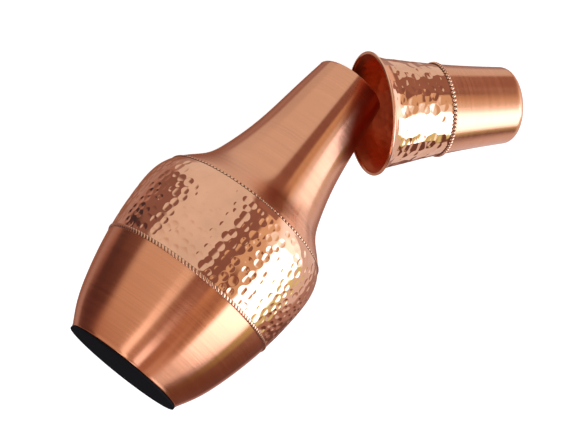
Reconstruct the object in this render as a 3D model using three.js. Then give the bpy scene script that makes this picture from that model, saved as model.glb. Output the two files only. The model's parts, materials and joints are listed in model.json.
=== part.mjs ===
// Copper water jug lying on its belly and mouth edge, with its drinking cup lying beside the
// neck, open towards it. Millimetres, +Z up, +X along the neck, floor at Z = 0.
import * as THREE from 'three';

// ---- jug sizes ----
const JUG_HEIGHT = 232;       // copper base to mouth edge
const BELLY_DIA = 127;        // widest outside diameter
const BELLY_HEIGHT = 94;      // where it is widest, above the base
const NECK_ROOT_DIA = 77.8;   // where the shoulder turns into the neck
const NECK_ROOT_HEIGHT = 146;
const LOWER_SEAM = 60.4;      // bead line between bowl and hammered band
const UPPER_SEAM = 118;       // bead line between hammered band and shoulder
const BASE_DIA = 78;
const MOUTH_DIA = 49;         // outside of the neck at the mouth
const PAD_THICK = 1.4;
const PAD_OVERHANG = 0.3;     // the pad shows a hair past the copper
const BASE_CORNER = 1.2;      // radius between the bowl's floor and its wall
// ---- cup sizes ----
const CUP_HEIGHT = 100;
const CUP_MOUTH_DIA = 80;     // over the lip
const CUP_BASE_DIA = 51.2;    // where the wall meets the bottom corner
const CUP_CORNER = 6;
const CUP_SEAM = 46.6;        // bead line, from the mouth
const LIP_R = 1;              // rolled lip
// ---- shared ----
const SHEET = 0.9;            // copper sheet
const GAP = 0.3;              // clearance between neighbouring pieces
const LOWER_WIRE = { wide: 2.6, proud: 0.7 };
const UPPER_WIRE = { wide: 2.0, proud: 0.6 };
const CUP_WIRE = { wide: 3.4, proud: 1.3 };
// ---- how the cup lies against the neck ----
const CUP_TURN = -44.6;       // degrees, cup axis from the neck's, seen from above
const CUP_ASIDE = 16.7;       // the neck's mouth centre off the cup's axis, seen from above
const NECK_TO_CUP = 0.5;      // nearest approach of neck and cup
const TURNS = 40;             // facets round every turned piece

const COPPER = { color: 0xc8805a, metalness: 1.0 };
const satin = () => new THREE.MeshStandardMaterial({ ...COPPER, roughness: 0.34 });
const polished = () => new THREE.MeshStandardMaterial({ ...COPPER, color: 0xd8936c, roughness: 0.12 });
const beaded = () => new THREE.MeshStandardMaterial({ ...COPPER, color: 0xb9714d, roughness: 0.25 });
const black = () => new THREE.MeshStandardMaterial({ color: 0x1b1b1d, roughness: 0.55, metalness: 0 });

// Natural cubic spline through [position, radius] stations; returns value and slope.
function outline(stations) {
  const n = stations.length - 1;
  const x = stations.map((s) => s[0]), y = stations.map((s) => s[1]);
  const h = (i) => x[i + 1] - x[i], m = new Array(n + 1).fill(0), c = [], d = [];
  c[0] = 0; d[0] = 0;
  for (let i = 1; i < n; i++) {
    const rhs = 6 * ((y[i + 1] - y[i]) / h(i) - (y[i] - y[i - 1]) / h(i - 1));
    const den = 2 * (h(i - 1) + h(i)) - h(i - 1) * c[i - 1];
    c[i] = h(i) / den;
    d[i] = (rhs - h(i - 1) * d[i - 1]) / den;
  }
  for (let i = n - 1; i > 0; i--) m[i] = d[i] - c[i] * m[i + 1];
  return (t) => {
    let i = 0;
    while (i < n - 1 && t > x[i + 1]) i++;
    const a = (x[i + 1] - t) / h(i), b = 1 - a, k = h(i) / 6;
    const r = a * y[i] + b * y[i + 1] + k * h(i) * ((a ** 3 - a) * m[i] + (b ** 3 - b) * m[i + 1]);
    const slope = (y[i + 1] - y[i]) / h(i) + k * ((3 * b * b - 1) * m[i + 1] - (3 * a * a - 1) * m[i]);
    return { r, slope };
  };
}

const mix = (a, b, k) => a + (b - a) * k;
// [height, radius] part of the way from one point of an outline to the next.
const between = (from, to, up, out) => [mix(from[0], to[0], up), mix(from[1], to[1], out)];
const base = [0, BASE_DIA / 2], belly = [BELLY_HEIGHT, BELLY_DIA / 2];
const root = [NECK_ROOT_HEIGHT, NECK_ROOT_DIA / 2], mouth = [JUG_HEIGHT, MOUTH_DIA / 2];
const jug = outline([
  base, between(base, belly, 0.128, 0.28), between(base, belly, 0.3, 0.535),
  between(base, belly, 0.64, 0.857),
  belly, between(belly, root, 0.346, 0.102), between(belly, root, 0.538, 0.362),
  between(belly, root, 0.731, 0.728),
  root, between(root, mouth, 0.326, 0.479), between(root, mouth, 0.663, 0.743),
  mouth,
]);

const cupR = CUP_MOUTH_DIA / 2, wallEnd = CUP_HEIGHT - CUP_CORNER;
const lipEnd = [0, cupR], tail = [wallEnd, CUP_BASE_DIA / 2];
const cup = outline([
  lipEnd, between(lipEnd, tail, 0.048, 0.19), between(lipEnd, tail, 0.149, 0.36),
  between(lipEnd, tail, 0.496, 0.7), tail,
]);

const spread = (from, to, count) =>
  Array.from({ length: count + 1 }, (_, i) => mix(from, to, i / count));
const outside = (shape, zs) => zs.map((z) => [shape(z).r, z]);
const inside = (shape, zs) =>
  zs.map((z) => [shape(z).r - SHEET * Math.hypot(1, shape(z).slope), z]).reverse();
const arc = (cr, cz, rad, from, to, count) => spread(from, to, count).map((deg) => {
  const t = THREE.MathUtils.degToRad(deg);
  return [cr + rad * Math.cos(t), cz + rad * Math.sin(t)];
});

// Turns a counter-clockwise (radius, height) loop about the local Z axis.
function turned(name, loop, material) {
  const geometry = new THREE.LatheGeometry(loop.map(([r, z]) => new THREE.Vector2(r, z)), TURNS);
  geometry.rotateX(Math.PI / 2);
  const mesh = new THREE.Mesh(geometry, material);
  mesh.name = name;
  return mesh;
}
const closed = (loop) => [...loop, loop[0]];

// Half-round wire lying on the wall over a seam, tilted to the wall there.
function wire(name, shape, at, size) {
  const { r, slope } = shape(at), len = Math.hypot(1, slope);
  const loop = spread(-90, 90, 4).map((deg) => {
    const t = THREE.MathUtils.degToRad(deg);
    const along = (size.wide / 2) * Math.sin(t), out = GAP + size.proud * Math.cos(t);
    return [r + (along * slope + out) / len, at + (along - out * slope) / len];
  });
  return turned(name, closed(loop), beaded());
}

function basePad() {
  const r = base[1] + PAD_OVERHANG, low = -GAP - PAD_THICK, ease = 0.3;
  return turned('base_pad', [[0, low], [r - ease, low], [r, low + ease], [r, -GAP], [0, -GAP]],
    black());
}

function lowerBowl() {
  const zs = spread(BASE_CORNER, LOWER_SEAM - GAP / 2, 6);
  const corner = arc(jug(BASE_CORNER).r - BASE_CORNER, BASE_CORNER, BASE_CORNER, -90, 0, 2);
  const inner = inside(jug, [2 * SHEET, ...zs.slice(1)]);
  return turned('lower_bowl',
    [[0, 0], ...corner.slice(0, -1), ...outside(jug, zs), ...inner,
      [inner.at(-1)[0] - SHEET, SHEET], [0, SHEET]], satin());
}

function hammeredBelly() {
  const zs = spread(LOWER_SEAM + GAP / 2, UPPER_SEAM - GAP / 2, 7);
  return turned('hammered_belly', closed([...outside(jug, zs), ...inside(jug, zs)]), polished());
}

function shoulderNeck() {
  const edge = SHEET / 2, end = JUG_HEIGHT - edge;
  const curl = spread(UPPER_SEAM + GAP / 2, NECK_ROOT_HEIGHT, 7);
  const zs = [...curl, ...spread(NECK_ROOT_HEIGHT, end, 5).slice(1)];
  const lip = arc(jug(end).r - edge, end, edge, 30, 150, 2);
  return turned('shoulder_neck', closed([...outside(jug, zs), ...lip, ...inside(jug, zs)]), satin());
}

function cupHammeredWall() {
  const start = 2.2 * LIP_R;
  const flare = spread(start, mix(start, CUP_SEAM, 0.3), 4);
  const zs = [...flare, ...spread(flare.at(-1), CUP_SEAM - GAP / 2, 4).slice(1)];
  const lip = arc(cupR - LIP_R, LIP_R, LIP_R, -180, 30, 5);
  return turned('cup_hammered_wall', closed([...outside(cup, zs), ...inside(cup, zs), ...lip]),
    polished());
}

function cupLowerWall() {
  const zs = spread(CUP_SEAM + GAP / 2, wallEnd, 5);
  const centre = cup(wallEnd).r - CUP_CORNER;
  return turned('cup_lower_wall', [
    [0, CUP_HEIGHT - SHEET], ...arc(centre, wallEnd, CUP_CORNER - SHEET, 90, 15, 3), ...inside(cup, zs),
    ...outside(cup, zs), ...arc(centre, wallEnd, CUP_CORNER, 15, 90, 4), [0, CUP_HEIGHT]], satin());
}

// Pitch at which a shape of this outline rests on its rim and the next thing it meets.
function restPitch(points, rim) {
  const steep = points.map(([r, z]) => (r - rim[0]) / Math.abs(z - rim[1]));
  return Math.atan(Math.max(...steep));
}

// Outermost point of a wire, [radius, height].
const crest = (shape, at, size) => [shape(at).r + GAP + size.proud, at];
const jugPoints = [...outside(jug, spread(0, JUG_HEIGHT - SHEET, 400)),
  crest(jug, LOWER_SEAM, LOWER_WIRE), crest(jug, UPPER_SEAM, UPPER_WIRE)];
const jugPitch = restPitch(jugPoints, [mouth[1], JUG_HEIGHT - SHEET / 2]);
const cupTail = [crest(cup, CUP_SEAM, CUP_WIRE), ...outside(cup, spread(CUP_SEAM, wallEnd, 60)),
  ...arc(cup(wallEnd).r - CUP_CORNER, wallEnd, CUP_CORNER, 0, 60, 24)];
const cupPitch = -restPitch(cupTail, [cupR, LIP_R]);
const lift = (points, pitch) => Math.max(
  ...points.map(([r, z]) => z * Math.sin(pitch) + r * Math.cos(pitch)));

// Frame whose Z runs from a piece's origin along its axis, nose down by pitch, turned by yaw.
function lying(pitch, yaw) {
  const tilt = new THREE.Group(), foot = new THREE.Group();
  tilt.rotation.y = Math.PI / 2 + pitch;
  foot.rotation.z = yaw;
  foot.add(tilt);
  return { foot, tilt };
}

// Distance from the neck's surface to the cup's wall when the cup's mouth centre is at `centre`.
function nearest(neck, axis, centre, wall) {
  const from = new THREE.Vector3();
  return Math.min(...neck.map((point) => {
    from.subVectors(point, centre);
    const z = from.dot(axis), r = Math.sqrt(Math.max(from.lengthSq() - z * z, 0));
    return Math.min(...wall.map(([wr, wz]) => Math.hypot(wr - r, wz - z)));
  }));
}

function build() {
  const whole = new THREE.Group();
  const jugFrame = lying(jugPitch, 0), cupFrame = lying(cupPitch, THREE.MathUtils.degToRad(CUP_TURN));
  jugFrame.foot.position.z = lift(jugPoints, jugPitch);
  jugFrame.tilt.add(basePad(), lowerBowl(), wire('lower_bead_wire', jug, LOWER_SEAM, LOWER_WIRE),
    hammeredBelly(), wire('upper_bead_wire', jug, UPPER_SEAM, UPPER_WIRE), shoulderNeck());
  cupFrame.tilt.add(cupHammeredWall(), wire('cup_bead_wire', cup, CUP_SEAM, CUP_WIRE),
    cupLowerWall());
  whole.add(jugFrame.foot, cupFrame.foot);
  whole.updateMatrixWorld(true);

  // Draw the cup up to the neck from clear of it until they are NECK_TO_CUP apart.
  const yaw = THREE.MathUtils.degToRad(CUP_TURN);
  const ahead = new THREE.Vector3(Math.cos(yaw), Math.sin(yaw), 0);
  const aside = new THREE.Vector3(-Math.sin(yaw), Math.cos(yaw), 0);
  const ring = (z, count) => spread(0, 2 * Math.PI, count).map((t) => jugFrame.tilt.localToWorld(
    new THREE.Vector3(jug(z).r * Math.cos(t), jug(z).r * Math.sin(t), z)));
  const neck = [...spread(NECK_ROOT_HEIGHT, JUG_HEIGHT - SHEET, 12).flatMap((z) => ring(z, 72)),
    ...ring(JUG_HEIGHT - SHEET / 2, 360)];
  const zs = spread(0, CUP_SEAM, 80);
  const wall = [...arc(cupR - LIP_R, LIP_R, LIP_R, -180, 180, 16), ...outside(cup, zs),
    ...inside(cup, zs)];
  const axis = new THREE.Vector3(0, 0, 1).transformDirection(cupFrame.tilt.matrixWorld);
  const end = jugFrame.tilt.localToWorld(new THREE.Vector3(0, 0, JUG_HEIGHT));
  const centre = end.clone().addScaledVector(aside, -CUP_ASIDE).addScaledVector(ahead, mouth[1]);
  centre.z = lift([[cupR, LIP_R]], cupPitch) + LIP_R * (1 - Math.cos(cupPitch));
  while (nearest(neck, axis, centre, wall) > NECK_TO_CUP) centre.addScaledVector(ahead, -0.1);
  cupFrame.foot.position.copy(centre);

  whole.updateMatrixWorld(true);
  const box = new THREE.Box3().setFromObject(whole, true), middle = box.getCenter(new THREE.Vector3());
  whole.position.set(-middle.x, -middle.y, -box.min.z);
  return whole;
}

const group = build();
export default group;
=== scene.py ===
import json
import math
import random

import bpy
import numpy as np
from bpy.props import FloatProperty, FloatVectorProperty, IntProperty, PointerProperty
from mathutils import Matrix, Vector, kdtree, noise


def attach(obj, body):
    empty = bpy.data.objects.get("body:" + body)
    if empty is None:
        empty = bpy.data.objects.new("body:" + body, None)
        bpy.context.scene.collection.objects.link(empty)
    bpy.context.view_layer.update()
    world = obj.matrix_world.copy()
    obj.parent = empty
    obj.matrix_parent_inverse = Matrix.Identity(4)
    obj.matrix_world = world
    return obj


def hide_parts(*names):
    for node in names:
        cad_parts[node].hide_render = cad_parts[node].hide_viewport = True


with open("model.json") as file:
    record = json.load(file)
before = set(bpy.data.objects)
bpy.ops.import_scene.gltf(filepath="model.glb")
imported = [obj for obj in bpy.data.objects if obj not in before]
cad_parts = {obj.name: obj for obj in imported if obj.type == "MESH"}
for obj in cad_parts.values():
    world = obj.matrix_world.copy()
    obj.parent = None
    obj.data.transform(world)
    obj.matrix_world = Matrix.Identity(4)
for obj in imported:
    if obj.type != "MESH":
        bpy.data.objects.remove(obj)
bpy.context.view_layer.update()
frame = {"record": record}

bl_info = {
    "name": "Copper Water Jug",
    "version": (1, 0, 0),
    "blender": (4, 5, 0),
    "location": "View3D > Sidebar > Copper Jug",
    "description": "Hammered copper water jug with its drinking cup, built round the packed part",
    "category": "Object",
}

MM = 0.001

# ---------------------------------------------------------------- sizes of the real pieces, mm
SHEET = 0.9            # copper sheet
SEAM_GAP = 0.15        # half of the clearance between two neighbouring walls
TRIM = 0.1             # keeps the round walls inside the box of the packed, faceted ones
JUG_HEIGHT = 232
BASE, BELLY, NECK_ROOT, MOUTH = (0, 39), (94, 63.5), (146, 38.9), (JUG_HEIGHT, 24.5)   # height, radius
LOWER_SEAM, UPPER_SEAM = 60.4, 118
BASE_CORNER = 1.2
PAD_THICK, PAD_GAP, PAD_RADIUS = 1.4, 0.3, 39.3
PAD_BEVEL, PAD_TOP_BEVEL = 0.35, 0.2
SPIN_RIDGE = 0.14      # height of the spinning ridges on the shoulder
CUP_HEIGHT, CUP_CORNER, CUP_SEAM = 100, 6, 46.6
LIP_RADIUS, FOOT_RADIUS, LIP_ROLL = 40, 25.6, 1
BEAD_SEAT = 0.04       # how far the flat back of a bead wire stands off the wall


# ---------------------------------------------------------------- turned outlines

def between(a, b, up, out):
    """A station part of the way from one (height, radius) to the next."""
    return a[0] + (b[0] - a[0]) * up, a[1] + (b[1] - a[1]) * out


class Outline:
    """Natural cubic spline through (height, radius) stations."""

    def __init__(self, stations):
        self.x, self.y = (np.array(v, float) for v in zip(*stations))
        n, h = len(self.x) - 1, np.diff(self.x)
        a, b = np.eye(n + 1), np.zeros(n + 1)
        for i in range(1, n):
            a[i, i - 1:i + 2] = h[i - 1], 2 * (h[i - 1] + h[i]), h[i]
            rise = np.diff(self.y[i - 1:i + 2]) / h[i - 1:i + 1]
            b[i] = 6 * (rise[1] - rise[0])
        self.h, self.m = h, np.linalg.solve(a, b)

    def at(self, t):
        """Radius and slope at height t."""
        t = np.asarray(t, float)
        i = np.clip(np.searchsorted(self.x, t) - 1, 0, len(self.h) - 1)
        h, y0, y1, m0, m1 = self.h[i], self.y[i], self.y[i + 1], self.m[i], self.m[i + 1]
        a = (self.x[i + 1] - t) / h
        b = 1 - a
        r = a * y0 + b * y1 + h * h / 6 * ((a ** 3 - a) * m0 + (b ** 3 - b) * m1)
        return r, (y1 - y0) / h + h / 6 * ((3 * b * b - 1) * m1 - (3 * a * a - 1) * m0)

    def wall(self, heights, inset=0.0):
        """(radius, height) points on the wall, or inset from it by a sheet's thickness."""
        r, slope = self.at(heights)
        return np.stack([r - inset * np.hypot(1, slope), np.asarray(heights, float)], 1)


def jug_outline():
    """From the base up."""
    return Outline([
        BASE, between(BASE, BELLY, 0.128, 0.28), between(BASE, BELLY, 0.3, 0.535),
        between(BASE, BELLY, 0.64, 0.857),
        BELLY, between(BELLY, NECK_ROOT, 0.346, 0.102), between(BELLY, NECK_ROOT, 0.538, 0.362),
        between(BELLY, NECK_ROOT, 0.731, 0.728),
        NECK_ROOT, between(NECK_ROOT, MOUTH, 0.326, 0.479), between(NECK_ROOT, MOUTH, 0.663, 0.743),
        MOUTH])


def cup_outline():
    """From the lip to where the bottom corner starts."""
    lip, foot = (0, LIP_RADIUS), (CUP_HEIGHT - CUP_CORNER, FOOT_RADIUS)
    return Outline([lip, between(lip, foot, 0.048, 0.19), between(lip, foot, 0.149, 0.36),
                    between(lip, foot, 0.496, 0.7), foot])


JUG, CUP = jug_outline(), cup_outline()


class Lathe:
    """Where a turned piece stands: its axis through origin; turning starts on the underside."""

    def __init__(self, origin, axis):
        self.origin, self.axis = Vector(origin), Vector(axis).normalized()
        up = Vector((0, 0, 1))
        self.down = (self.axis * self.axis.z - up).normalized()
        self.side = self.axis.cross(self.down)

    def place(self, points):
        """Points of the lathe's own frame, in metres, where they stand in the scene."""
        turn = Matrix((self.down, self.side, self.axis)).transposed()
        return points @ np.array(turn).T + np.array(self.origin)


MOUNT = {m["name"]: m for m in frame["record"]["mounts"]}
JUG_AXIS = -Vector(MOUNT["jug_base"]["axis"])
CUP_AXIS = Vector(MOUNT["cup_base"]["axis"])
JUG_LATHE = Lathe(Vector(MOUNT["jug_base"]["pos_m"]) + JUG_AXIS * (PAD_THICK + PAD_GAP) * MM, JUG_AXIS)
CUP_LATHE = Lathe(Vector(MOUNT["cup_base"]["pos_m"]) - CUP_AXIS * CUP_HEIGHT * MM, CUP_AXIS)


def arc(r, z, radius, start, end, steps):
    """Points of an arc round (r, z), from one angle in degrees to another."""
    t = np.radians(np.linspace(start, end, steps + 1))
    return np.stack([r + radius * np.cos(t), z + radius * np.sin(t)], 1)


def normals_of(loop, closed):
    """Unit normal of each point of a counter-clockwise (radius, height) profile."""
    if closed:
        t = np.roll(loop, -1, 0) - np.roll(loop, 1, 0)
    else:
        t = np.gradient(loop, axis=0)
    t /= np.maximum(np.hypot(*t.T), 1e-12)[:, None]
    return np.stack([t[:, 1], -t[:, 0]], 1)


UV_PER_MM = 0.01       # scale of the turning map along the profile; one turn round is 1


def turned(name, lathe, loop, turns, closed=True, sink=None, crest=None, sharp=35, inside=()):
    """Turns a (radius, height) profile in mm into a mesh. sink gives, for each ring and step round,
    how far the surface is pushed in along its normal; crest is a value kept per point; inside
    holds the rows of faces that show the inside finish."""
    n = len(loop)
    phi = np.linspace(0, 2 * math.pi, turns, endpoint=False)
    ring = np.stack([np.cos(phi), np.sin(phi)], 1)
    r = np.repeat(loop[:, 0:1], turns, 1)
    z = np.repeat(loop[:, 1:2], turns, 1)
    if sink is not None:
        depth = sink(r, z, phi)
        normal = normals_of(loop, closed)
        r = r - depth * normal[:, 0:1]
        z = z - depth * normal[:, 1:2]
    r = np.maximum(r - TRIM, 0)
    local = np.stack([r * ring[:, 0], r * ring[:, 1], z], 2) * MM
    ids = np.arange(n * turns).reshape(n, turns)
    faces, corners_u, corners_v, finish = [], [], [], []
    length = np.concatenate([[0], np.cumsum(np.hypot(*np.diff(loop, axis=0).T))]) * UV_PER_MM
    verts = local.reshape(-1, 3)
    rows = range(n) if closed else range(n - 1)
    step = np.arange(turns)
    for i in rows:
        k = (i + 1) % n
        quad = np.stack([ids[i], np.roll(ids[i], -1), np.roll(ids[k], -1), ids[k]], 1)
        u = np.stack([step, step + 1, step + 1, step], 1) / turns
        top = length[k] if k else length[i] + UV_PER_MM
        v = np.repeat([[length[i], length[i], top, top]], turns, 0)
        if not closed and i == 0:                      # the profile starts on the axis
            quad, u, v = quad[:, [0, 2, 3]], u[:, [0, 2, 3]], v[:, [0, 2, 3]]
            quad[:, 0] = ids[0, 0]
        elif not closed and i == n - 2:                # and ends on it
            quad, u, v = quad[:, :3], u[:, :3], v[:, :3]
            quad[:, 2] = ids[n - 1, 0]
        faces += quad.tolist()
        finish += [int(i in inside)] * turns
        corners_u.append(u.ravel())
        corners_v.append(v.ravel())
    if not closed:                                     # one point at each end, not a ring
        keep = np.ones(n * turns, bool)
        keep[ids[0, 1:]] = keep[ids[n - 1, 1:]] = False
        new = np.cumsum(keep) - 1
        verts = verts[keep]
        faces = [[int(new[i]) for i in f] for f in faces]
    else:
        keep = slice(None)
    mesh = bpy.data.meshes.new(name)
    mesh.from_pydata(lathe.place(verts).tolist(), [], faces)
    uv = np.stack([np.concatenate(corners_u), np.concatenate(corners_v)], 1)
    mesh.uv_layers.new(name="turning").data.foreach_set("uv", uv.ravel())
    mesh.attributes.new("lathe", "FLOAT_VECTOR", "POINT").data.foreach_set(
        "vector", verts.astype(np.float32).ravel())
    if crest is not None:
        value = np.broadcast_to(crest, (n, turns)).reshape(-1)[keep]
        mesh.attributes.new("crest", "FLOAT", "POINT").data.foreach_set("value", value.astype(np.float32))
    mesh.polygons.foreach_set("material_index", finish)
    mesh.shade_smooth()
    mesh.set_sharp_from_angle(angle=math.radians(sharp))
    piece = bpy.data.objects.new(name, mesh)
    bpy.context.scene.collection.objects.link(piece)
    return piece


def fit(piece, node, body, slot, *materials):
    """The piece stands for its node, moves with its body and takes the finishes given; slot is not used."""
    for material in materials:
        piece.data.materials.append(material)
    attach(piece, body)
    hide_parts(node)


# ---------------------------------------------------------------- hammer marks

def ease(x):
    """Rises smoothly from 0 to 1 as x does."""
    x = np.clip(x, 0, 1)
    return x * x * (3 - 2 * x)


class Hammering:
    """Hammer marks spread over a turned wall. Each mark is a shallow round dish."""

    FIRST_ROW, LAST_ROW, ROW_STEP = 0.55, 0.35, 0.86    # shares of the spacing of the marks
    FEWEST = 6                                          # marks in a row
    WIDTHS, DEPTHS = (0.8, 1.18), (0.6, 1.25)           # shares of the usual width and depth
    SWELL_SCALE = 0.09                                  # of the wall's slow unevenness, per mm

    def __init__(self, outline, low, high, spacing, width, depth, seed, scatter, swell):
        rng = random.Random(seed)
        self.low, self.high, self.swell, self.seed = low, high, swell, seed
        self.marks, row = [], 0
        z = low + spacing * self.FIRST_ROW
        while z < high - spacing * self.LAST_ROW:
            r, slope = (float(v) for v in outline.at(z))
            count = max(self.FEWEST, round(2 * math.pi * r / spacing))
            for k in range(count):
                turn = (k + 0.5 * (row % 2) + rng.uniform(-scatter, scatter)) / count * 2 * math.pi
                up = z + rng.uniform(-scatter, scatter) * spacing
                here = float(outline.at(up)[0])
                self.marks.append((Vector((here * math.cos(turn), here * math.sin(turn), up)),
                                   width / 2 * rng.uniform(*self.WIDTHS),
                                   depth * rng.uniform(*self.DEPTHS)))
            z += spacing * self.ROW_STEP / math.hypot(1, slope)
            row += 1
        self.tree = kdtree.KDTree(len(self.marks))
        for i, (co, _, _) in enumerate(self.marks):
            self.tree.insert(co, i)
        self.tree.balance()
        self.reach = max(m[1] for m in self.marks)

    def depth_at(self, co):
        """Depth of the deepest mark over a point, and of the wall's slow unevenness."""
        deepest = 0.0
        for _, i, d in self.tree.find_range(co, self.reach):
            _, radius, depth = self.marks[i]
            if d < radius:
                deepest = max(deepest, depth * (1 - (d / radius) ** 2))
        slow = noise.noise(co * self.SWELL_SCALE + Vector((self.seed, 0, 0)))
        return deepest + self.swell * (0.5 + 0.5 * slow)

    def field(self, outline, heights, phi, edge):
        """Depth of the marks at each height and turn, fading out at the band's two edges."""
        r = outline.at(heights)[0]
        fade = ease((heights - self.low) / edge) * ease((self.high - heights) / edge)
        out = np.zeros((len(heights), len(phi)))
        for i, (z, rad, f) in enumerate(zip(heights, r, fade)):
            if f > 0:
                for j, p in enumerate(phi):
                    out[i, j] = f * self.depth_at(Vector((rad * math.cos(p), rad * math.sin(p), z)))
        return out


# ---------------------------------------------------------------- finishes

# Noise scales, per metre: across, across and along the piece's axis.
FINE_BRUSHING, BROAD_BRUSHING = (26, 26, 2600), (8, 8, 520)
PEENING, CLOUDING, BEAD_WEAR, PAD_SPECK = ((each,) * 3 for each in (420, 60, 900, 1500))
NOISE_LOW, NOISE_HIGH = 0.35, 0.65      # most values of the noise lie between these
ALONG_THE_AXIS = 0.25                   # of a full turn, from the way the turning marks run
REDDER = (1.12, 0.78, 0.55)             # the inside copper's colour, as shares of the satin one


def node(tree, kind, **settings):
    made = tree.nodes.new(kind)
    for key, value in settings.items():
        setattr(made, key, value)
    return made


def feed(tree, socket, value):
    """Links the socket to another, or sets it."""
    if isinstance(value, bpy.types.NodeSocket):
        tree.links.new(value, socket)
    else:
        socket.default_value = value


def calc(tree, operation, *values):
    made = node(tree, "ShaderNodeMath", operation=operation)
    for socket, value in zip(made.inputs, values):
        feed(tree, socket, value)
    return made.outputs[0]


def remap(tree, value, from_low, from_high, to_low, to_high, soft=False):
    """Runs a value from one range to another, held at both ends."""
    made = node(tree, "ShaderNodeMapRange", interpolation_type="SMOOTHSTEP" if soft else "LINEAR")
    for socket, v in zip(made.inputs, (value, from_low, from_high, to_low, to_high)):
        feed(tree, socket, v)
    return made.outputs[0]


def blend_colour(tree, factor, a, b):
    made = node(tree, "ShaderNodeMix", data_type="RGBA")
    feed(tree, made.inputs[0], factor)
    feed(tree, made.inputs[6], a)
    feed(tree, made.inputs[7], b)
    return made.outputs[2]


def grain(tree, where, scale, detail, rough):
    """Noise stretched by a different scale along each axis of the piece."""
    stretch = node(tree, "ShaderNodeVectorMath", operation="MULTIPLY")
    tree.links.new(where, stretch.inputs[0])
    stretch.inputs[1].default_value = scale
    made = node(tree, "ShaderNodeTexNoise")
    tree.links.new(stretch.outputs[0], made.inputs["Vector"])
    made.inputs["Scale"].default_value = 1.0
    made.inputs["Detail"].default_value = detail
    made.inputs["Roughness"].default_value = rough
    return made.outputs[0]


def new_finish(name):
    """An empty finish, and where each point lies in its lathe's own frame."""
    material = bpy.data.materials.new(name)
    material.use_nodes = True
    tree = material.node_tree
    tree.nodes.clear()
    shader, out = node(tree, "ShaderNodeBsdfPrincipled"), node(tree, "ShaderNodeOutputMaterial")
    tree.links.new(shader.outputs[0], out.inputs[0])
    where = node(tree, "ShaderNodeAttribute", attribute_name="lathe").outputs["Vector"]
    return material, tree, shader, where


def shade(colour, by):
    """The colour made darker or lighter, with an alpha of 1."""
    return tuple(min(1.0, c * by) for c in colour[:3]) + (1.0,)


def relief(tree, shader, height, strength, distance):
    """Bumps the surface. distance is in metres."""
    bump = node(tree, "ShaderNodeBump")
    bump.inputs["Strength"].default_value = strength
    bump.inputs["Distance"].default_value = distance
    tree.links.new(height, bump.inputs["Height"])
    tree.links.new(bump.outputs[0], shader.inputs["Normal"])


def satin_copper(name, colour, rough, spread):
    """Brushed on the lathe: fine marks run round the piece."""
    material, tree, shader, where = new_finish(name)
    fine = grain(tree, where, FINE_BRUSHING, 3, 0.6)
    broad = grain(tree, where, BROAD_BRUSHING, 3, 0.6)
    marks = calc(tree, "ADD", calc(tree, "MULTIPLY", fine, 0.55), calc(tree, "MULTIPLY", broad, 0.45))
    shader.inputs["Metallic"].default_value = 1.0
    shader.inputs["Anisotropic"].default_value = spread
    shader.inputs["Anisotropic Rotation"].default_value = ALONG_THE_AXIS
    tangent = node(tree, "ShaderNodeTangent", direction_type="UV_MAP", uv_map="turning")
    tree.links.new(tangent.outputs[0], shader.inputs["Tangent"])
    feed(tree, shader.inputs["Base Color"],
         blend_colour(tree, remap(tree, marks, NOISE_LOW, NOISE_HIGH, 0, 1),
                      shade(colour, 0.91), shade(colour, 1.06)))
    feed(tree, shader.inputs["Roughness"], remap(tree, marks, 0.3, 0.7, rough - 0.03, rough + 0.04))
    relief(tree, shader, marks, 0.08, 0.00003)
    return material


def polished_copper(name, colour, rough):
    """Bright hammered copper: almost a mirror, with a faint peening texture."""
    material, tree, shader, where = new_finish(name)
    peened = grain(tree, where, PEENING, 2, 0.5)
    cloud = grain(tree, where, CLOUDING, 3, 0.5)
    shader.inputs["Metallic"].default_value = 1.0
    feed(tree, shader.inputs["Base Color"],
         blend_colour(tree, remap(tree, cloud, NOISE_LOW, NOISE_HIGH, 0, 1),
                      shade(colour, 0.92), shade(colour, 1.04)))
    feed(tree, shader.inputs["Roughness"], remap(tree, cloud, 0.3, 0.7, rough, rough + 0.05))
    relief(tree, shader, peened, 0.1, 0.00004)
    return material


def inside_copper(colour):
    """Unpolished copper inside the vessels, redder and duller."""
    return satin_copper("inside copper", tuple(c * k for c, k in zip(colour, REDDER)), 0.45, 0.3)


def beaded_copper(name, colour, rough, groove_shade):
    """Polished bead crests; the grooves between the beads and the wire's sides carry painted shade, their
    colour darkened down to the share given.
    """
    material, tree, shader, where = new_finish(name)
    crest = node(tree, "ShaderNodeAttribute", attribute_name="crest").outputs["Fac"]
    shader.inputs["Metallic"].default_value = 1.0
    # painted shade: the colour darkens from the bead tops into the grooves and down the wire's sides
    feed(tree, shader.inputs["Base Color"],
         blend_colour(tree, remap(tree, crest, 0.3, 0.75, 0, 1, True),
                      shade(colour, groove_shade), shade(colour, 0.97)))
    feed(tree, shader.inputs["Roughness"], remap(tree, crest, 0.1, 0.8, rough + 0.3, rough))
    relief(tree, shader, grain(tree, where, BEAD_WEAR, 2, 0.5), 0.1, 0.00003)
    return material


def black_pad(name, colour):
    """Dead black with a fine speck and no sheen."""
    material, tree, shader, where = new_finish(name)
    speck = grain(tree, where, PAD_SPECK, 3, 0.6)
    feed(tree, shader.inputs["Base Color"],
         blend_colour(tree, speck, shade(colour, 0.8), shade(colour, 1.5)))
    feed(tree, shader.inputs["Roughness"], remap(tree, speck, 0.3, 0.7, 0.42, 0.6))
    shader.inputs["Specular IOR Level"].default_value = 0.0
    relief(tree, shader, speck, 0.25, 0.00006)
    return material


# ---------------------------------------------------------------- settings

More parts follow.
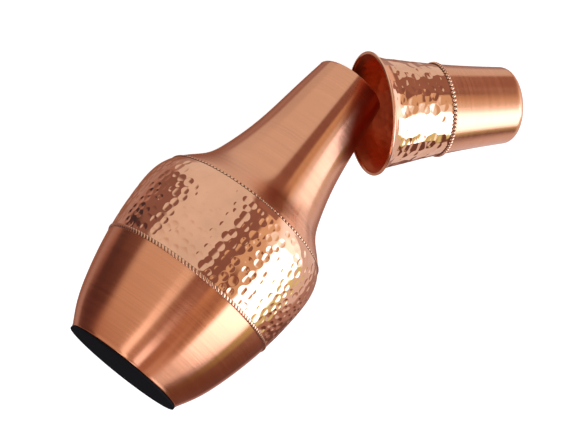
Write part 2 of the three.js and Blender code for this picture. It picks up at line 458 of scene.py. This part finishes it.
class JugSettings(bpy.types.PropertyGroup):
    turns: IntProperty(name="Steps round", description="Steps round the smooth turned walls",
                       default=256, min=48, max=1024)
    satin: FloatVectorProperty(name="Satin copper", description="Colour of the brushed copper",
                               subtype="COLOR", default=(0.86, 0.405, 0.23), min=0, max=1)
    bowl: FloatVectorProperty(name="Bowl copper", description="Colour of the brushed lower bowl",
                              subtype="COLOR", default=(0.86, 0.37, 0.19), min=0, max=1)
    polished: FloatVectorProperty(name="Polished copper", description="Colour of the hammered copper",
                                  subtype="COLOR", default=(0.93, 0.50, 0.31), min=0, max=1)
    pad: FloatVectorProperty(name="Pad", description="Colour of the black pad under the jug",
                             subtype="COLOR", default=(0.010, 0.010, 0.011), min=0, max=1)
    satin_rough: FloatProperty(name="Satin roughness", description="How dull the brushed copper is",
                               default=0.23, min=0.05, max=1)
    satin_spread: FloatProperty(name="Satin spread", description="How far highlights run along the piece",
                                default=0.98, min=0, max=1)
    polish: FloatProperty(name="Polish roughness", description="How dull the hammered copper is",
                          default=0.04, min=0, max=1)


class MarkSettings(bpy.types.PropertyGroup):
    jug_spacing: FloatProperty(name="Jug mark spacing", description="Distance between marks on the jug",
                               default=0.0061, min=0.002, max=0.02, unit="LENGTH", precision=4)
    jug_width: FloatProperty(name="Jug mark width", description="Width of a hammer mark on the jug",
                             default=0.0053, min=0.001, max=0.02, unit="LENGTH", precision=4)
    jug_depth: FloatProperty(name="Jug mark depth", description="Depth of a hammer mark on the jug",
                             default=0.0003, min=0, max=0.0005, unit="LENGTH", precision=5)
    cup_spacing: FloatProperty(name="Cup mark spacing", description="Distance between marks on the cup",
                               default=0.0062, min=0.002, max=0.02, unit="LENGTH", precision=4)
    cup_width: FloatProperty(name="Cup mark width", description="Width of a hammer mark on the cup",
                             default=0.0072, min=0.001, max=0.02, unit="LENGTH", precision=4)
    cup_depth: FloatProperty(name="Cup mark depth", description="Depth of a hammer mark on the cup",
                             default=0.00033, min=0, max=0.0005, unit="LENGTH", precision=5)
    rope_pitch: FloatProperty(name="Rope bead pitch", description="Pitch of the slanted beads low on the jug",
                              default=0.0025, min=0.001, max=0.01, unit="LENGTH", precision=4)
    dot_pitch: FloatProperty(name="Dot bead pitch", description="Pitch of the small beads under the shoulder",
                             default=0.0026, min=0.001, max=0.01, unit="LENGTH", precision=4)
    cup_pitch: FloatProperty(name="Cup bead pitch", description="Pitch of the round beads on the cup",
                             default=0.0026, min=0.001, max=0.01, unit="LENGTH", precision=4)


class StudioSettings(bpy.types.PropertyGroup):
    window: FloatProperty(name="Window light", description="Brightness of the large window panel",
                          default=4.0, min=0, max=20)
    wall: FloatProperty(name="Wall light", description="Brightness of the wide pale wall",
                        default=0.745, min=0, max=5)
    floor: FloatVectorProperty(name="Floor", description="Colour of the floor", subtype="COLOR",
                               default=(0.4, 0.4, 0.4), min=0, max=1)
    floor_glow: FloatProperty(name="Floor glow", description="Light that the floor gives by itself",
                              default=0.88, min=0, max=2)


# ---------------------------------------------------------------- jug pieces

# Mesh steps up and round the hammered walls, fine enough to carry the marks.
BELLY_UP, BELLY_ROUND = 150, 1000
CUP_UP, CUP_ROUND = 84, 480


class COPPERJUG_OT_base_pad(bpy.types.Operator):
    """Black pad under the jug's base"""
    bl_idname = "copper_jug.base_pad"
    bl_label = "Base pad"

    def execute(self, context):
        low, high = -PAD_GAP - PAD_THICK, -PAD_GAP
        loop = np.concatenate([
            [(0, low)], arc(PAD_RADIUS - PAD_BEVEL, low + PAD_BEVEL, PAD_BEVEL, -90, 0, 5),
            arc(PAD_RADIUS - PAD_TOP_BEVEL, high - PAD_TOP_BEVEL, PAD_TOP_BEVEL, 0, 90, 3), [(0, high)]])
        piece = turned("pad_under_base", JUG_LATHE, loop, 192, closed=False)
        fit(piece, "base_pad", "jug", "pad", black_pad("black pad", context.scene.copper_jug.pad))
        return {"FINISHED"}


class COPPERJUG_OT_lower_bowl(bpy.types.Operator):
    """Brushed lower bowl of the jug, with its own floor"""
    bl_idname = "copper_jug.lower_bowl"
    bl_label = "Lower bowl"

    def execute(self, context):
        s = context.scene.copper_jug
        heights = np.linspace(BASE_CORNER, LOWER_SEAM - SEAM_GAP, 48)
        corner_radius = float(JUG.at(BASE_CORNER)[0]) - BASE_CORNER
        corner = arc(corner_radius, BASE_CORNER, BASE_CORNER, -90, 0, 5)
        inner = JUG.wall(np.concatenate([[2 * SHEET], heights[2:]]), SHEET)[::-1]
        loop = np.concatenate([[(0, 0)], corner[:-1], JUG.wall(heights), inner,
                               [(inner[-1, 0] - SHEET, SHEET), (0, SHEET)]])
        first = len(corner) - 1 + len(heights) + 1
        piece = turned("bowl_brushed", JUG_LATHE, loop, s.turns, closed=False, inside=range(first, len(loop)))
        fit(piece, "lower_bowl", "jug", "satin_copper",
            satin_copper("brushed bowl copper", s.bowl, s.satin_rough - 0.02, s.satin_spread),
            inside_copper(s.satin))
        return {"FINISHED"}


class COPPERJUG_OT_hammered_belly(bpy.types.Operator):
    """Hammered, polished band round the jug's belly"""
    bl_idname = "copper_jug.hammered_belly"
    bl_label = "Hammered belly"

    def execute(self, context):
        s, m = context.scene.copper_jug, context.scene.copper_marks
        low, high = LOWER_SEAM + SEAM_GAP, UPPER_SEAM - SEAM_GAP
        heights = np.linspace(low, high, BELLY_UP)
        first, last = low + 0.8, high - 0.6            # the marks keep off the two edges
        hammering = Hammering(JUG, first, last, m.jug_spacing / MM, m.jug_width / MM,
                              m.jug_depth / MM, seed=7, scatter=0.26, swell=0.12)
        inner = JUG.wall(np.linspace(low, high, 14), SHEET)[::-1]
        loop = np.concatenate([JUG.wall(heights), inner])

        def sink(r, z, phi):
            depth = np.zeros(r.shape)
            depth[:len(heights)] = hammering.field(JUG, heights, phi, edge=1.2)
            return depth

        piece = turned("belly_hammered", JUG_LATHE, loop, BELLY_ROUND, sink=sink,
                       inside=range(len(heights), len(loop) - 1))
        fit(piece, "hammered_belly", "jug", "polished_copper",
            polished_copper("hammered belly copper", s.polished, s.polish), inside_copper(s.satin))
        return {"FINISHED"}


class COPPERJUG_OT_shoulder_neck(bpy.types.Operator):
    """Brushed shoulder and neck of the jug, up to the plain mouth"""
    bl_idname = "copper_jug.shoulder_neck"
    bl_label = "Shoulder and neck"
    RIDGED = 24                          # mm above the seam with finer mesh steps, for the ridges
    FADE_FROM, FADE_OVER = 5, 14         # mm above the seam where the close ridges die away

    def execute(self, context):
        s = context.scene.copper_jug
        edge = SHEET / 2
        end = JUG_HEIGHT - edge
        low = UPPER_SEAM + SEAM_GAP
        ridged = low + self.RIDGED
        heights = np.concatenate([np.linspace(low, ridged, 80, endpoint=False), np.linspace(ridged, end, 90)])
        lip = arc(float(JUG.at(end)[0]) - edge, end, edge, 15, 165, 6)
        loop = np.concatenate([JUG.wall(heights), lip, JUG.wall(heights, SHEET)[::-1]])
        first = len(heights) + len(lip)

        def sink(r, z, phi):
            depth = np.zeros(r.shape)
            for i, up in enumerate(heights):
                near_seam = 1 - ease((up - low - self.FADE_FROM) / self.FADE_OVER)
                ridge = noise.noise(Vector((up * 0.75, 3.7, 0))) * near_seam       # close ridges
                ridge += 0.22 * noise.noise(Vector((up * 0.3, 9.1, 0)))            # faint wide ones
                depth[i] = SPIN_RIDGE * (0.5 + 0.5 * ridge) * ease((up - low) / 1.5)
            return depth

        piece = turned("shoulder_and_neck", JUG_LATHE, loop, s.turns, sink=sink,
                       inside=range(first, len(loop) - 1))
        fit(piece, "shoulder_neck", "jug", "satin_copper",
            satin_copper("brushed shoulder copper", s.satin, s.satin_rough, s.satin_spread),
            inside_copper(s.satin))
        return {"FINISHED"}


BEAD_STEPS = 12          # steps along a bead, and over it
BEAD_PLUMPNESS = 0.6     # the lower, the rounder the beads and the narrower the grooves


def bead_row(name, lathe, outline, at, wide, proud, pitch, slant, pinch, waist):
    """A wire pressed into beads, over the wall at one height of its outline. slant twists the
    grooves, pinch is how deep they go, and waist how much they narrow the wire."""
    r, slope = (float(v) for v in outline.at(at))
    length = math.hypot(1, slope)
    beads = round(2 * math.pi * r / (pitch / MM))
    turns = beads * BEAD_STEPS
    t = np.radians(np.linspace(-90, 90, BEAD_STEPS + 1))[:, None]
    phi = np.linspace(0, 2 * math.pi, turns, endpoint=False)[None, :]
    lump = np.abs(np.cos(beads * phi / 2 + slant * np.sin(t))) ** BEAD_PLUMPNESS
    side = (wide / 2) * np.sin(t) * (1 - waist * (1 - lump))
    out = BEAD_SEAT + proud * np.cos(t) * (1 - pinch * (1 - lump))
    back_side = np.array([[wide / 4], [0], [-wide / 4]]) * np.ones((1, turns))
    side = np.concatenate([side, back_side])
    out = np.concatenate([out, np.full((3, turns), BEAD_SEAT)])
    # crest is 1 on the bead tops and falls into the grooves and down the wire's sides; it sets where shade is
    # painted
    crest = np.concatenate([lump * (0.35 + 0.65 * np.cos(t)), np.zeros((3, turns))])
    rr = r + (side * slope + out) / length
    zz = at + (side - out * slope) / length
    loop = np.stack([rr[:, 0], zz[:, 0]], 1)
    return turned_rings(name, lathe, rr, zz, loop, crest)


def turned_rings(name, lathe, rr, zz, loop, crest):
    """As turned, with every ring's radius and height given outright."""
    piece = turned(name, lathe, loop, rr.shape[1], crest=crest, sharp=60)
    phi = np.linspace(0, 2 * math.pi, rr.shape[1], endpoint=False)
    rr = rr - TRIM
    local = np.stack([rr * np.cos(phi), rr * np.sin(phi), zz], 2).reshape(-1, 3) * MM
    mesh = piece.data
    mesh.vertices.foreach_set("co", lathe.place(local).astype(np.float32).ravel())
    mesh.attributes["lathe"].data.foreach_set("vector", local.astype(np.float32).ravel())
    mesh.update()
    return piece


class COPPERJUG_OT_jug_beads(bpy.types.Operator):
    """The two bead lines over the jug's seams"""
    bl_idname = "copper_jug.jug_beads"
    bl_label = "Jug bead lines"

    def execute(self, context):
        s, m = context.scene.copper_jug, context.scene.copper_marks
        low = bead_row("rope_beads_low", JUG_LATHE, JUG, LOWER_SEAM, wide=2.6, proud=0.55,
                       pitch=m.rope_pitch, slant=0.9, pinch=0.55, waist=0.15)
        fit(low, "lower_bead_wire", "jug", "beaded_copper",
            beaded_copper("rope bead copper", s.polished, rough=0.16, groove_shade=0.26))
        high = bead_row("dot_beads_high", JUG_LATHE, JUG, UPPER_SEAM, wide=1.9, proud=0.5,
                        pitch=m.dot_pitch, slant=0.0, pinch=0.7, waist=0.4)
        fit(high, "upper_bead_wire", "jug", "beaded_copper",
            beaded_copper("dot bead copper", s.polished, rough=0.16, groove_shade=0.14))
        return {"FINISHED"}


# ---------------------------------------------------------------- cup pieces

class COPPERJUG_OT_cup_hammered_wall(bpy.types.Operator):
    """Hammered upper wall of the cup with its rolled lip"""
    bl_idname = "copper_jug.cup_hammered_wall"
    bl_label = "Cup hammered wall"

    def execute(self, context):
        s, m = context.scene.copper_jug, context.scene.copper_marks
        start, end = 2.2 * LIP_ROLL, CUP_SEAM - SEAM_GAP
        heights = np.linspace(start, end, CUP_UP)
        first, last = start + 1.5, end - 0.8           # the marks keep off the lip and the seam
        hammering = Hammering(CUP, first, last, m.cup_spacing / MM, m.cup_width / MM,
                              m.cup_depth / MM, seed=23, scatter=0.34, swell=0.15)
        lip = arc(LIP_RADIUS - LIP_ROLL, LIP_ROLL, LIP_ROLL, -190, 20, 14)
        outer, inner = CUP.wall(heights), CUP.wall(heights, SHEET)[::-1]
        loop = np.concatenate([outer, inner, lip])
        n = len(heights)

        def sink(r, z, phi):
            depth = np.zeros(r.shape)
            marks = hammering.field(CUP, heights, phi, edge=1.5)
            depth[:n] = marks
            depth[n:2 * n] = -0.7 * marks[::-1]          # each mark stands out, softer, on the inside
            return depth

        piece = turned("cup_wall_hammered", CUP_LATHE, loop, CUP_ROUND, sink=sink, inside=range(n, 2 * n))
        fit(piece, "cup_hammered_wall", "cup", "polished_copper",
            polished_copper("hammered cup copper", s.polished, s.polish), inside_copper(s.satin))
        return {"FINISHED"}


class COPPERJUG_OT_cup_beads(bpy.types.Operator):
    """The bead line round the cup"""
    bl_idname = "copper_jug.cup_beads"
    bl_label = "Cup bead line"

    def execute(self, context):
        s, m = context.scene.copper_jug, context.scene.copper_marks
        piece = bead_row("cup_beads_round", CUP_LATHE, CUP, CUP_SEAM, wide=3.4, proud=1.3,
                         pitch=m.cup_pitch, slant=0.3, pinch=0.85, waist=0.6)
        fit(piece, "cup_bead_wire", "cup", "beaded_copper",
            beaded_copper("cup bead copper", s.polished, rough=0.14, groove_shade=0.10))
        return {"FINISHED"}


class COPPERJUG_OT_cup_lower_wall(bpy.types.Operator):
    """Brushed lower wall and bottom of the cup"""
    bl_idname = "copper_jug.cup_lower_wall"
    bl_label = "Cup lower wall"

    def execute(self, context):
        s = context.scene.copper_jug
        wall_end = CUP_HEIGHT - CUP_CORNER
        heights = np.linspace(CUP_SEAM + SEAM_GAP, wall_end, 40)
        corner_radius = FOOT_RADIUS - CUP_CORNER
        corner = arc(corner_radius, wall_end, CUP_CORNER, 0, 90, 12)
        inner_corner = arc(corner_radius, wall_end, CUP_CORNER - SHEET, 90, 0, 10)
        loop = np.concatenate([
            [(0, CUP_HEIGHT - SHEET)], inner_corner[:-1], CUP.wall(heights, SHEET)[::-1],
            CUP.wall(heights), corner[1:], [(0, CUP_HEIGHT)]])
        piece = turned("cup_wall_brushed", CUP_LATHE, loop, s.turns, closed=False,
                       inside=range(len(inner_corner) + len(heights)))
        fit(piece, "cup_lower_wall", "cup", "satin_copper",
            satin_copper("brushed cup copper", s.satin, s.satin_rough - 0.04, s.satin_spread),
            inside_copper(s.satin))
        return {"FINISHED"}


# ---------------------------------------------------------------- studio

# The light is a plan of the sky as seen from above: each direction lies at its angle from
# straight up, in degrees, towards the east (+X) and the north (+Y). A panel is the east and north
# of its middle, half its size each way, the softness of its edges, the rise of its long side and
# its colour. A later panel covers an earlier one.
ROOM_COLOUR = (0.41, 0.26, 0.23)                                  # where no panel is
PANELS = (
    (-28, 45, 24, 35, 18, 0.0, (0.60, 0.5, 0.45)),                # the wall's duller end
    (4, 107, 28, 20, 5, 0.0, (0.26, 0.155, 0.14)),                # skirting, low behind
    (-58, 98, 46, 23, 9, 0.17, (0.10, 0.05, 0.055)),              # dark doorway
    (-22, 119, 10, 9, 3, 0.0, (0.06, 0.045, 0.055)),
    (60, -20, 78, 20, 3, 0.0, (0.72, 0.57, 0.41)),                # warm shelf
    (70, -33, 40, 7, 3, 0.0, (0.84, 0.66, 0.50)),
    (-42, -30, 26, 12, 8, 0.0, (0.62, 0.48, 0.44)),
    (0, -25, 18, 5, 3, 0.35, (0.26, 0.13, 0.10)),                 # something dark on it
    (55, 0, 63, 11, 2, -0.07, (0.27, 0.15, 0.13)),                # dark beam overhead
    (112, -8, 14, 8, 4, 0.0, (0.5, 0.3, 0.23)),
    (-28, -12, 32, 8, 4, 0.0, (0.40, 0.24, 0.2)),
    (-54, -3, 34, 5, 2, 0.0, (1.55, 1.65, 2.05)),                 # two strip lamps
    (-36, 20, 28, 5, 2, 0.0, (1.5, 1.55, 1.75)),
    (76, -62, 40, 28, 8, 0.0, (1.15, 1.3, 1.5)),                  # wall beside the window
    (120, -55, 20, 40, 10, 0.0, (0.8, 0.62, 0.55)),
    (-38, -52, 34, 16, 8, 0.0, (0.74, 0.74, 0.85)),
    (-40, -97, 34, 38, 5, -0.45, (0.16, 0.08, 0.065)),            # dark floor edge, front
    (50, -101, 42, 12, 4, 0.0, (0.74, 0.72, 0.78)),
    (16, -83, 26, 7, 2.5, 0.0, (0.72, 0.82, 0.45)),               # leaves outside
    (46, -32, 12, 6, 3, 0.0, (1.0, 1.1, 1.15)),
    (56, -62, 12, 17, 5, 0.0, (1.5, 1.75, 2.0)),                  # thin curtain
)
WALL_PANEL = (60, 64, 78, 54, 5, 0.0)                             # wide pale wall behind
WINDOW_PANEL = (19, -57.5, 27, 20, 3, 0.0)
DAYLIGHT = (0.74, 0.88, 1.15)
# Dark rims low round the room: where each starts and is full, in degrees from straight up.
UPPER_RIM, UPPER_RIM_COLOUR = (134, 144), (0.42, 0.31, 0.29)
LOWER_RIM, LOWER_RIM_COLOUR = (149, 159), (0.30, 0.145, 0.095)
UPPER_RIM_NORTH = (-60, -40)                                      # the upper rim fades out to the south

# Metres from here on, but for the lens.
FLOOR_HALF, FLOOR_DROP = 6.0, 0.0005
BOUNCE_CARD = [(0.02, -0.75, 0), (0.35, -0.75, 0), (0.35, -0.086, 0), (0.02, -0.086, 0)]
DARK_FLAG = [(0.3, -0.08, 0), (0.3, 0.04, 0), (0.3, 0.04, 0.14), (0.3, -0.08, 0.14)]
SENSOR_WIDTH, FOCAL_LENGTH = 36.0, 73.9      # mm
CAMERA_PLACE = (-0.01176, 0.16953, 0.77575)
CAMERA_RIGHT, CAMERA_UP = (0.67577, -0.71779, 0.16767), (0.73711, 0.65726, -0.15708)


def opaque(colour):
    return tuple(colour) + (1.0,)


def hang(tree, east, north, behind, panel):
    """Mixes one soft-edged panel over what is already there."""
    x, y, half_x, half_y, soft, rise, colour = panel
    dx = calc(tree, "SUBTRACT", east, x)
    dy = calc(tree, "SUBTRACT", calc(tree, "SUBTRACT", north, y), calc(tree, "MULTIPLY", dx, rise))
    mask = calc(tree, "MULTIPLY",
                remap(tree, calc(tree, "ABSOLUTE", dx), half_x - soft, half_x + soft, 1, 0, True),
                remap(tree, calc(tree, "ABSOLUTE", dy), half_y - soft, half_y + soft, 1, 0, True))
    return blend_colour(tree, mask, behind, opaque(colour))


def studio_world(settings):
    """The panels light and are reflected; the camera itself sees plain white."""
    world = bpy.data.worlds.new("studio")
    bpy.context.scene.world = world
    world.use_nodes = True
    tree = world.node_tree
    tree.nodes.clear()
    way = node(tree, "ShaderNodeTexCoord").outputs["Generated"]
    split = node(tree, "ShaderNodeSeparateXYZ")
    tree.links.new(way, split.inputs[0])
    x, y, z = split.outputs
    squares = calc(tree, "ADD", calc(tree, "MULTIPLY", x, x), calc(tree, "MULTIPLY", y, y))
    flat = calc(tree, "MAXIMUM", calc(tree, "SQRT", squares), 1e-4)
    tip = calc(tree, "MULTIPLY", calc(tree, "ARCCOSINE", z), 180 / math.pi)
    lean = calc(tree, "DIVIDE", tip, flat)
    east, north = calc(tree, "MULTIPLY", x, lean), calc(tree, "MULTIPLY", y, lean)
    wall = WALL_PANEL + ((settings.wall,) * 3,)
    window = WINDOW_PANEL + (tuple(part * settings.window for part in DAYLIGHT),)
    look = opaque(ROOM_COLOUR)
    for panel in (wall, *PANELS, window):
        look = hang(tree, east, north, look, panel)
    upper = calc(tree, "MULTIPLY", remap(tree, tip, *UPPER_RIM, 0, 1, True),
                 remap(tree, north, *UPPER_RIM_NORTH, 0, 1, True))
    look = blend_colour(tree, upper, look, opaque(UPPER_RIM_COLOUR))
    look = blend_colour(tree, remap(tree, tip, *LOWER_RIM, 0, 1, True), look, opaque(LOWER_RIM_COLOUR))
    room, white = node(tree, "ShaderNodeBackground"), node(tree, "ShaderNodeBackground")
    feed(tree, room.inputs[0], look)
    white.inputs[0].default_value = (1, 1, 1, 1)
    seen = node(tree, "ShaderNodeLightPath").outputs["Is Camera Ray"]
    mixed, out = node(tree, "ShaderNodeMixShader"), node(tree, "ShaderNodeOutputWorld")
    for socket, value in zip(mixed.inputs, (seen, room.outputs[0], white.outputs[0])):
        tree.links.new(value, socket)
    tree.links.new(mixed.outputs[0], out.inputs[0])


def stage_card(name, finish, corners, colour, glow, glow_strength):
    """A flat stage card with a dull finish that may give light of its own."""
    mesh = bpy.data.meshes.new(name)
    mesh.from_pydata(corners, [], [(0, 1, 2, 3)])
    card = bpy.data.objects.new(name, mesh)
    bpy.context.scene.collection.objects.link(card)
    paint = bpy.data.materials.new(finish)
    paint.use_nodes = True
    shader = paint.node_tree.nodes["Principled BSDF"]
    shader.inputs["Base Color"].default_value = opaque(colour)
    shader.inputs["Specular IOR Level"].default_value = 0.0
    shader.inputs["Emission Color"].default_value = opaque(glow)
    shader.inputs["Emission Strength"].default_value = glow_strength
    mesh.materials.append(paint)
    return card, shader


def reflector(name, corners, colour):
    """A card beside the object that shows only in its reflections."""
    card, _ = stage_card(name, name, corners, (0, 0, 0), colour, 1.0)
    for kind in ("camera", "diffuse", "shadow", "transmission"):
        setattr(card, "visible_" + kind, False)


class COPPERJUG_OT_stage(bpy.types.Operator):
    """Pale floor, soft light and the camera"""
    bl_idname = "copper_jug.stage"
    bl_label = "Stage"

    def execute(self, context):
        s = context.scene.copper_studio
        half = FLOOR_HALF
        floor, shader = stage_card("floor", "pale floor",
                                   [(-half, -half, 0), (half, -half, 0), (half, half, 0), (-half, half, 0)],
                                   s.floor, (1, 1, 1), s.floor_glow)
        shader.inputs["Roughness"].default_value = 0.9
        floor.location.z = -FLOOR_DROP
        floor.visible_glossy = False
        reflector("bounce_card", BOUNCE_CARD, (0.74, 0.7, 0.74))
        reflector("dark_flag", DARK_FLAG, (0.33, 0.185, 0.155))
        studio_world(s)
        lens = bpy.data.cameras.new("camera")
        lens.sensor_width, lens.lens = SENSOR_WIDTH, FOCAL_LENGTH
        camera = bpy.data.objects.new("camera", lens)
        context.scene.collection.objects.link(camera)
        right, up = Vector(CAMERA_RIGHT), Vector(CAMERA_UP)
        camera.matrix_world = Matrix.Translation(CAMERA_PLACE) @ Matrix(
            (right, up, right.cross(up))).transposed().to_4x4()
        context.scene.camera = camera
        context.scene.view_settings.view_transform = "Standard"
        return {"FINISHED"}


class COPPERJUG_PT_panel(bpy.types.Panel):
    """Sizes, finishes and the steps that build the jug"""
    bl_label = "Copper Water Jug"
    bl_space_type = "VIEW_3D"
    bl_region_type = "UI"
    bl_category = "Copper Jug"

    def draw(self, context):
        layout, scene = self.layout, context.scene
        for group in (scene.copper_jug, scene.copper_marks, scene.copper_studio):
            box = layout.box()
            for name in group.__annotations__:
                box.prop(group, name)
        for step in STEPS:
            layout.operator(step.bl_idname)


STEPS = (
    COPPERJUG_OT_stage, COPPERJUG_OT_base_pad, COPPERJUG_OT_lower_bowl, COPPERJUG_OT_hammered_belly,
    COPPERJUG_OT_shoulder_neck, COPPERJUG_OT_jug_beads, COPPERJUG_OT_cup_hammered_wall,
    COPPERJUG_OT_cup_beads, COPPERJUG_OT_cup_lower_wall,
)
GROUPS = (("copper_jug", JugSettings), ("copper_marks", MarkSettings), ("copper_studio", StudioSettings))


def register():
    for name, group in GROUPS:
        bpy.utils.register_class(group)
        setattr(bpy.types.Scene, name, PointerProperty(type=group))
    for cls in STEPS + (COPPERJUG_PT_panel,):
        bpy.utils.register_class(cls)


def unregister():
    for cls in reversed(STEPS + (COPPERJUG_PT_panel,)):
        bpy.utils.unregister_class(cls)
    for name, group in reversed(GROUPS):
        delattr(bpy.types.Scene, name)
        bpy.utils.unregister_class(group)


def main():
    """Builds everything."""
    register()
    for step in STEPS:
        getattr(bpy.ops.copper_jug, step.bl_idname.split(".")[1])()


if __name__ == "__main__":
    main()
